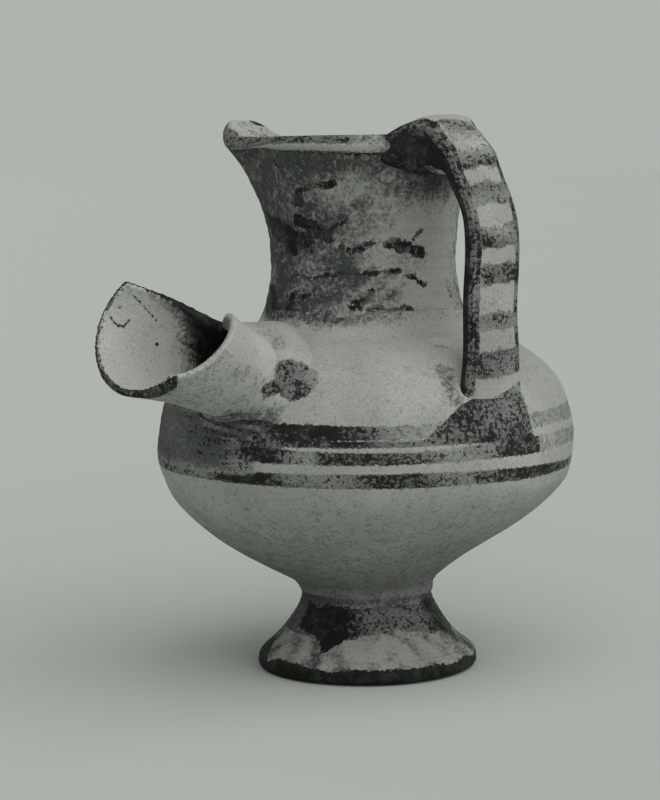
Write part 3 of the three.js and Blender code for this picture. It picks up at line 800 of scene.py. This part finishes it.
# Streaks of slip left by the brush and by wear, each with half its width
streaks = [
    ([(-125, 129.5), (-102, 127.5), (-88, 125.5), (-75, 123.3)], 2.25),
    ([(-118, 127), (-98, 124.5), (-86, 121)], 2.25),
    ([(-82, 129.2), (-69, 127.6), (-61, 124.6)], 2),
    ([(-74, 126), (-72.6, 120.6)], 0.87),
    ([(-52, 121.6), (-40, 121.4)], 1.25),
    ([(-60, 126.7), (-50, 129.4)], 0.62),
    ([(-39, 122.8), (-23.5, 123.4)], 0.62),
    ([(-24, 122.8), (-14, 121.5), (-3, 120)], 2),
    ([(-9.4, 123.6), (-4, 126.2)], 0.62),
    ([(-81, 135), (-78, 137.6), (-69, 138.5), (-56, 139.3)], 1.25),
    ([(-80.5, 134.4), (-79, 135.2)], 2.12),
    ([(-95, 144.6), (-92, 144.3)], 1.25),
    ([(-86, 114.6), (-74, 113.4), (-56, 114.4), (-39, 114.6), (-21, 115.3), (-8, 113.1), (-1, 110.8)], 0.74),
    ([(-86, 107.8), (-90, 104.6)], 1.5),
    ([(-112, 109), (-102, 104.4)], 2.25),
    ([(-35, 110.2), (-36, 108), (-45, 107)], 1.12),
    ([(-48, 105.4), (-32, 105), (-12, 104.5)], 0.87),
    ([(-78, 107.9), (-70, 109.1)], 0.74),
]
marks = np.maximum.reduce([streak(line, half) for line, half in streaks]) - 0.2
marks = marks + 0.4 * waves(turn, height, 48, 8, 3, 40)
over_lip = row - OUTER_ROWS
# A dark line in the groove under the rolled rim: painted shade in the undercut, faded out round azimuth -110
groove_shade_line = 0.75 - 0.45 * np.abs(over_lip) - 1.2 * hump(turn, -110, 36)
crown_paint = 0.3 * np.minimum(over_lip - 1 - 6.5 * hump(turn, -48, 62, 4), 22 - over_lip)
spots = np.maximum(
    6.5 - np.linalg.norm(rings - rings_of(43.5, 151.5, -150), axis=-1),
    3.0 - np.linalg.norm(rings - rings_of(47.2, 157.4, -178), axis=-1),
)
neck_slip = np.where(lip_face, np.maximum(groove_shade_line, crown_paint), -4)
neck_slip = np.where(outside, np.maximum(marks, groove_shade_line), neck_slip)
neck_slip = np.maximum(neck_slip, np.where(row < OUTER_ROWS + LIP_ROWS + 2, spots, -4))
side_film = at_turns(
    turn, (-180, 0.9), (-128, 1), (-100, 1), (-72, 0.86), (-50, 0.7), (-22, 0.36), (-8, 0), (12, 0),
    (40, 0.5), (110, 0.6), (180, 0.8),
)
side_film = side_film + 0.16 * waves(turn, height, 44, 50, 12, 10) + 0.1 * waves(turn, height, 47, 14, 5, 30)
under_lip = np.clip((height - 138.5 - 1.2 * waves(turn, 0 * turn, 46, 60, 20, 14)) / 5, 0, 1)
# Painted shadow of the handle's root on the neck below and beside it
root_shadow_on_neck = hump(turn, 0, 42) * np.clip((height - 129) / 9, 0, 1)
film = np.maximum(side_film + (1.0 - side_film) * under_lip * 0.8, 0.95 * root_shadow_on_neck)
film = film * np.clip((height - 99.4) / 3.2, 0, 1)
# A light wash on the lip face, darkened under the handle's root as painted shadow
lip_wash_and_root_shadow = 0.12 + 0.7 * hump(turn, -18, 16)
inside_film = 0.08 + 0.3 * hump(turn, 190, 30) * (height > 148)
lip_worn = 0.54 + 0.5 * hump(turn, -37, 5)
neck = skin(
    "neck_dressed",
    rings,
    wrap=True,
    slip=0.6 * neck_slip,
    worn=np.where(lip_face, lip_worn, 0.36 + 0.12 * waves(turn, height, 49, 20, 6, 20)),
    wash=np.where(outside, film, np.where(lip_face, lip_wash_and_root_shadow, inside_film)),
    soil=np.where(outside, 0.05, 0.0),
)
# The darkest wash of the pot, over grey-buff clay that shows in worn flecks
neck_clay = fired_clay("clay_neck_mottled_wash", "#acafa9", "#bec1bb", "#0f110f", "#434744", 0.4)
neck.data.materials.append(neck_clay)
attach(neck, "root")
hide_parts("neck")

# Spout: a thrown tube, cut obliquely while leather-hard so that it opens into a wide flared trough.
# Its inside is clean pale clay with a dark throat; a line of dark slip follows the cut lip.
SPOUT_LENGTH = 42.9
SPOUT_TUBE_R = 12.8
SPOUT_FLARE = 5.9
SPOUT_FLARE_FROM = 8
TUBE_SEAM = -12
CUT_FROM = 14
CUT_START = -9
NEAR_EDGE_SWEEP = 142
NEAR_EDGE_BOW = 1.45
FAR_EDGE = 345
FAR_EDGE_SWEEP = 32
SPOUT_WALL = [(CUT_FROM, 3.4), (26, 2.2), (SPOUT_LENGTH, 1.8)]
SOFTENING = 0.3
SPOUT_VOXEL = 0.0005


def spout_r(s):
    """The spout's outer radius s mm along its axis."""
    share = np.clip((s - SPOUT_FLARE_FROM) / (SPOUT_LENGTH - SPOUT_FLARE_FROM), 0, 1.2)
    return SPOUT_TUBE_R + SPOUT_FLARE * share**1.6


def cut_edges(s):
    """The angles of the trough's near and far edges."""
    share = np.clip((s - CUT_FROM) / (SPOUT_LENGTH - CUT_FROM), 0, 1)
    near = CUT_START + NEAR_EDGE_SWEEP * np.sin(share * np.pi / 2) ** NEAR_EDGE_BOW
    return near, FAR_EDGE - FAR_EDGE_SWEEP * share


def round_spout(s, r, angle):
    """A point on a circle round the spout's axis. 0 degrees looks up, and angles grow towards the handle."""
    a = np.radians(angle)
    s, r, a = np.broadcast_arrays(s, r, a)
    across = (r * np.cos(a))[..., None] * spout_top - (r * np.sin(a))[..., None] * spout_side
    return spout_root + s[..., None] * spout_way + across


def along_to_bowl(r, angle):
    """How far along a line parallel to the spout's axis the bowl's outer face lies."""
    inside, outside = np.full(angle.shape, -40.0), np.full(angle.shape, 42.0)
    for _ in range(30):
        middle = (inside + outside) / 2
        p = round_spout(middle, r, angle)
        bowl_r = np.interp(p[..., 2], body_outer[:, 1], body_outer[:, 0])
        within = (p[..., 2] < SHOULDER_Z) & (np.hypot(p[..., 0], p[..., 1]) < bowl_r)
        inside, outside = np.where(within, middle, inside), np.where(within, outside, middle)
    return outside


def softened(made, voxel, passes):
    """The piece rebuilt as one even skin and smoothed, so that its cut edges are rounded like wiped clay."""
    remesh = made.modifiers.new("remesh", "REMESH")
    remesh.mode = "VOXEL"
    remesh.voxel_size = voxel
    smooth = made.modifiers.new("smooth", "SMOOTH")
    smooth.factor = 0.5
    smooth.iterations = passes
    mesh = bpy.data.meshes.new_from_object(made.evaluated_get(bpy.context.evaluated_depsgraph_get()))
    made.modifiers.clear()
    made.data = mesh
    mesh.shade_smooth()
    return made


rows = []
t = np.linspace(0, 1, 110)
for s in np.concatenate([np.linspace(0, CUT_FROM - 0.1, 20), np.linspace(CUT_FROM, SPOUT_LENGTH, 90)]):
    if s < CUT_FROM:
        share = s / CUT_FROM
        angle = TUBE_SEAM + 360 * t
        along = (along_to_bowl(SPOUT_TUBE_R, angle) - 2.2) * (1 - share) + CUT_FROM * share
    else:
        near, far = cut_edges(s)
        spare = math.degrees(SOFTENING / spout_r(s))
        angle = near - spare + (far - near + 2 * spare) * t
        along = np.full(angle.shape, s)
    wobble = 0.12 * waves(angle, along, 51, 30, 10, 5)
    outer_row = round_spout(along, spout_r(along) + wobble, angle)
    thick = at_places(along, *SPOUT_WALL)
    inner_row = round_spout(along, spout_r(along) - thick + wobble[::-1], angle[::-1])
    rows.append(np.vstack([outer_row, inner_row]))
rows = np.array(rows)
spout = skin("spout_dressed", rows, ends=(rows[0].mean(0), rows[-1].mean(0)))
spout = softened(spout, SPOUT_VOXEL, 5)

# Where each point of the softened spout lies: s along the axis, its radius and its angle round it
points = np.empty(len(spout.data.vertices) * 3)
spout.data.vertices.foreach_get("co", points)
off = (points.reshape(-1, 3) - np.array(axis)) * 1000 - spout_root
s = off @ spout_way
x, y = off @ spout_top, -(off @ spout_side)
from_axis, angle = np.hypot(x, y), np.degrees(np.arctan2(y, x)) % 360
inner = from_axis < spout_r(s) - at_places(s, *SPOUT_WALL) * 0.5
near, far = cut_edges(s)
mm_per_degree = from_axis * np.pi / 180
from_near = np.where(angle > 330, angle - 360 - near, angle - near) * mm_per_degree
from_far = (far - angle) * mm_per_degree
from_end = SPOUT_LENGTH - s

# The line along the cut lip: widest below the mouth, and thin up the far edge
lip_width = at_places(
    angle, (133, 0.8), (142, 4.6), (165, 5.2), (200, 4.6), (225, 2.9), (240, 1.6), (255, 1.0), (313, 0.9)
)
end_line = np.where(inner, 0.06 * lip_width, lip_width) - from_end
end_line = np.where((angle < 131) | (angle > 330), -3, end_line)
far_line = np.where(inner, at_places(s, (14, 1.6), (24, 0.3), (40, -0.5)), 0.8) - from_far
far_line = np.where((s > 13.5) & (angle > 250), far_line, -3)
edge_line = np.maximum(end_line, far_line)

# The dark throat, drawn out in rays, partly slip and partly painted shade deep in the tube, and painted shade
# under the far edge
rays = waves(9 * angle, 0 * s, 52, 30, 10, 9) + 0.7 * waves(23 * angle, s, 53, 60, 30, 9)
reach = at_places(
    angle, (60, 13), (120, 14), (180, 13), (215, 12), (240, 12), (262, 13), (280, 15), (300, 18), (320, 23),
    (345, 30),
)
reach = np.where(inner, reach + 1.6 * rays, -9) - s
throat = np.maximum(reach, 2.0 * np.clip((27 - s) / 10, 0, 1) - from_near)
throat = np.where(inner, throat, -4)
far_edge_shade = np.clip(at_places(s, (13, 13), (22, 8), (30, 4.5), (40, 2.0)) - from_far, 0, 5) / 5
far_edge_shade = np.where(inner & (angle > 240), far_edge_shade, 0)

# Two pits, a scratched loop and a crease inside the trough, placed by mm across it and along the axis
across = 0.27 * (angle - 270)
pits = 0.5 - np.minimum(np.hypot(across - 6.05, s - 40.4), np.hypot(across - 1.5, s - 25.8))
loop = 0.3 - off_line(across, s, [(2.7, 41.3), (1.5, 39), (2.0, 37), (4.5, 36.3)])
crease = 0.16 - off_line(across, s, [(10.6, 39.9), (9.6, 34.9), (8.2, 29.4)])
nicks = np.where(inner & (angle > 200), np.maximum.reduce([pits, loop, crease]), -3)

# Smears of slip under the tube, next to the bowl
flank = at_places(s, (2, 0.36), (12, 0.3), (30, 0.3), (40, 0.4)) * ((angle > 90) & (angle < 260))
below = fades(angle - 165, 34) * np.clip(1.3 - np.abs(s - 5) / 8, 0, 1)
dashes = np.where(inner, -4, 1.1 * waves(angle, s, 54, 9, 3, 22) - 2.3 + 1.9 * below)
throat_worn = 0.75 - 0.12 * np.clip(throat, 0, 6)
lip_worn = np.where(end_line > far_line, 0.4, 0.1)
spout_fields = {
    "slip": np.maximum.reduce([edge_line, throat, nicks, dashes]),
    "worn": np.where(throat > np.maximum(edge_line, nicks), throat_worn, lip_worn),
    "wash": np.maximum.reduce(
        [0.95 * far_edge_shade, np.where(inner, 0.06, np.maximum(flank, below)), 0.85 * np.clip(reach / 7 + 0.9, 0, 1)]
    ),
    "soil": np.where(inner, 0.0, 0.05),
}
for field, values in spout_fields.items():
    attribute = spout.data.attributes.new(field, "FLOAT", "POINT")
    attribute.data.foreach_set("value", np.ascontiguousarray(values, np.float32))
# Pale clean clay, a line of dark slip along the cut lip and a dark throat
spout_clay = fired_clay("clay_spout_lip_slip", "#bfc2bc", "#cdd0ca", "#181a18", "#4c504d", 0.5)
spout.data.materials.append(spout_clay)
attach(spout, "root")
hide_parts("spout")

# Spout coil: the collar of clay smeared from the spout's root on to the shoulder with a thumb.
# On top it grows into a web that fills the hollow between the tube and the neck.
COLLAR_IN_R = 13.1
COLLAR_OUT_R = 16.5
COLLAR_LENGTH = 6
WEB_LENGTH = 11
WEB_SPREAD = 40
COLLAR_STEPS = 200
COLLAR_SPANS = 9

collar_angle = np.linspace(0, 360, COLLAR_STEPS, endpoint=False)
near = along_to_bowl(COLLAR_IN_R, collar_angle)
far = along_to_bowl(COLLAR_OUT_R, collar_angle)
web = fades(around(collar_angle, 0), WEB_SPREAD)
rise = np.maximum(far - near, 0)
end = (near + COLLAR_LENGTH) * (1 - web) + WEB_LENGTH * web
hand = 0.16 * waves(collar_angle, 0 * collar_angle, 61, 20, 10, 9)
collar_section = [
    (far - 0.9, COLLAR_OUT_R + 0.9),
    (near + rise * (0.4 + 0.6 * web) + 0.8 + 0.6 * web + hand, COLLAR_IN_R + 1.3 + 5.4 * web + hand),
    (near + 0.6 * (end - near), COLLAR_IN_R + 0.45 + 2.85 * web + hand),
    (end + 0.8, spout_r(end + 0.8) - 0.15),
    (near + 0.5 * (end - near), COLLAR_IN_R - 1.3),
    (near - 0.6, COLLAR_IN_R - 0.7),
]
corners = np.array([round_spout(along, r, collar_angle) for along, r in collar_section])
before, after, past = np.roll(corners, 1, axis=0), np.roll(corners, -1, axis=0), np.roll(corners, -2, axis=0)
t = np.linspace(0, 1, COLLAR_SPANS, endpoint=False)[:, None, None]
collar = np.vstack([between(a, b, c, d, t) for a, b, c, d in zip(before, corners, after, past)])
collar_turn = np.degrees(np.arctan2(collar[..., 1], collar[..., 0]))
collar_z = collar[..., 2]
low_down = np.clip((SPOUT_ROOT_Z - collar_z) / 9, 0, 1)
dashes = 1.1 * waves(collar_turn, collar_z, 62, 5, 2, 22) - 2.4 + 2.6 * low_down
far_low_side = 0.8 * fades(around(collar_angle, 160), 30)[None]
speckled = 0.42 * fades(np.linalg.norm(collar - rings_of(50.0, 98.0, -68), axis=-1), 5.5)
spout_coil = skin(
    "spout_coil_dressed",
    collar,
    wrap=True,
    slip=np.maximum(blob_at(collar), dashes),
    worn=0.5,
    # Below 84 mm the wash carries the bowl's smeared slip and painted shade under the spout on to the collar
    wash=np.maximum(np.maximum(far_low_side, speckled), np.clip((84 - collar_z) / 7, 0, 0.85)),
    soil=0.0,
)
# The shoulder's pale clay, with the edge of the slip blob
spout_coil_clay = fired_clay("clay_spout_root_smear", "#aeb1ab", "#bec1bb", "#1f211f", "#555956", 0.6)
spout_coil.data.materials.append(spout_coil_clay)
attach(spout_coil, "root")
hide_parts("spout_coil")

# Handle: a pulled strap of oblong section with a thick root, pressed flat on the lip and on the shoulder.
# Bars of slip cross its back, its sides are painted solid, and a mottled stripe runs down each edge.
handle_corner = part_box("handle")[1]
REACH = (handle_corner.x - axis.x) * 1000 - 0.2
TOP = handle_corner.z * 1000 - 0.03
UNDER = 141.3
STRAP_W = 17.8
LIP_SPLAY_W = 40
FOOT_SPLAY_W = 22
PULLED_LENGTH = 130
STRAP_STEPS = 120


def across_at(share):
    """How far out a share of the way from the lip to the handle's back lies."""
    return MOUTH_R + (REACH - MOUTH_R) * share


back = through(
    [
        (across_at(-0.21), 153.3), (across_at(-0.07), TOP - 1), (across_at(0.14), TOP - 0.3),
        (across_at(0.36), TOP - 4), (across_at(0.63), TOP - 10.9), (across_at(0.87), TOP - 21.2),
        (REACH, TOP - 34), (REACH, TOP - 50), (REACH, TOP - 64), (REACH - 0.1, 81.6),
    ],
    28,
)
front = through(
    [
        (across_at(-0.21), UNDER + 1.2), (across_at(-0.07), UNDER), (across_at(0.12), UNDER),
        (across_at(0.28), UNDER + 0.1), (across_at(0.45), UNDER - 0.9), (across_at(0.69), TOP - 24.4),
        (REACH - 5.5, TOP - 35), (REACH - 5.7, TOP - 50), (REACH - 5.7, TOP - 64), (REACH - 4.8, 84.8),
    ],
    28,
)
at = np.linspace(0, 1, len(back))[:, None]
at_lip = np.clip(1 - at / 0.3, 0, 1) ** 1.5
at_foot = np.clip((at - 0.82) / 0.18, 0, 1) ** 1.5
half_w = (STRAP_W + (LIP_SPLAY_W - STRAP_W) * at_lip + (FOOT_SPLAY_W - STRAP_W) * at_foot) / 2
a = np.linspace(0, 2 * np.pi, STRAP_STEPS, endpoint=False)[None]
square = 0.56 + 0.3 * np.maximum(at_lip, at_foot)
run = np.repeat(at * PULLED_LENGTH, STRAP_STEPS, axis=1)
round_strap = np.degrees(a) + 0 * run
w = half_w * np.sign(np.cos(a)) * np.abs(np.cos(a)) ** square
t = np.sign(np.sin(a)) * np.abs(np.sin(a)) ** square
t = t * (0.965 + 0.03 * waves(round_strap, run, 72, 34, 12, 6))
middle, half = (back + front) / 2, (back - front) / 2
bend = at_lip * w**2 / 67 + at_foot * w**2 / 112
pull_mark = 0.35 * waves(0 * w, run, 71, 60, 18, 1) * (1 - at_lip)
rings = np.stack([middle[:, :1] + half[:, :1] * t - bend, w + pull_mark, middle[:, 1:] + half[:, 1:] * t], -1)
z = rings[..., 2]
outer_face = t > 0.3

# The bars across the back, each with its highest and lowest z in mm and how worn it is
bars = [
    (148.5, 143.5, 0.55), (139.5, 133.5, 0.5), (128.2, 122.2, 0.42), (117.9, 112.3, 0.5), (105.1, 100.0, 0.5),
    (94.6, 87.6, 0.4),
]
level = z - 0.06 * w - 0.4 * waves(12 * w, z, 74, 40, 12, 6)
bar = np.maximum.reduce([np.minimum(level - low_z, high_z - level) for high_z, low_z, _ in bars])
bar = np.minimum(bar, w + half_w - 2.2)
crest_bar = np.minimum(rings[..., 0] - 38.5, 44.5 - rings[..., 0]) * (z > 150) - 4 * (z <= 150)
bar = 0.55 * np.where(outer_face, np.maximum(bar, np.minimum(crest_bar, w + half_w - 3)), -4)
on_bar = [(level > low_z - 1) & (level < high_z + 1) for high_z, low_z, _ in bars]
bar_worn = np.select(on_bar, [worn for *_, worn in bars], 0.62)

# The solid sides, the two stripes, the paint and painted shade under the root and the patch below the
# handle's foot
side_face = np.where(t > 0.78, -1, np.abs(w) - (half_w - 1.0))
stripe = np.where(outer_face, 2.7 - np.minimum(w + half_w, half_w - w), -4)
# Under the root the slip is partly painted shade, darkening its lower face
under_root_slip_and_shade = np.where(t < -0.2, 14 - 60 * at, -4)
clean_z = 84.2 + 0.32 * w
foot_paint = np.where(outer_face & (at > 0.8), clean_z - 1.6 - z, -4)
clean_line = fades(z - clean_z, 1.6) * (at > 0.8)
# A wash under the root, partly painted shade
root_wash = np.clip((0.34 - at) / 0.1, 0, 1) * np.clip(-t + 0.95, 0, 1) * 1.2
painted = np.maximum.reduce([bar, side_face, foot_paint, under_root_slip_and_shade])
handle_worn = np.where(side_face >= painted, 0.15, bar_worn + 0.12)
handle_worn = np.where(stripe > painted, 0.46, handle_worn)
handle_worn = handle_worn + 0.12 * np.clip(1 - np.abs(side_face) / 0.35, 0, 1) * outer_face
handle_worn = np.where(under_root_slip_and_shade > 0, 0.35, handle_worn)
handle = skin(
    "handle_dressed",
    rings,
    ends=(rings[0].mean(0), rings[-1].mean(0)),
    slip=np.where(clean_line > 0.5, -4, np.maximum(painted, stripe)),
    worn=handle_worn + 0.13 * waves(round_strap, run, 73, 30, 8, 5) * (side_face < 0),
    wash=np.clip(root_wash + 0.16 - 0.2 * clean_line, 0, 1),
    soil=0.0,
)
# Buff clay rubbed smooth by the hand, with cross-bars and side stripes of worn slip
handle_clay = fired_clay("clay_handle_barred_slip", "#abaea8", "#bbbeb8", "#1c1e1c", "#515552", 0.7)
handle.data.materials.append(handle_clay)
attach(handle, "root")
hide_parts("handle")
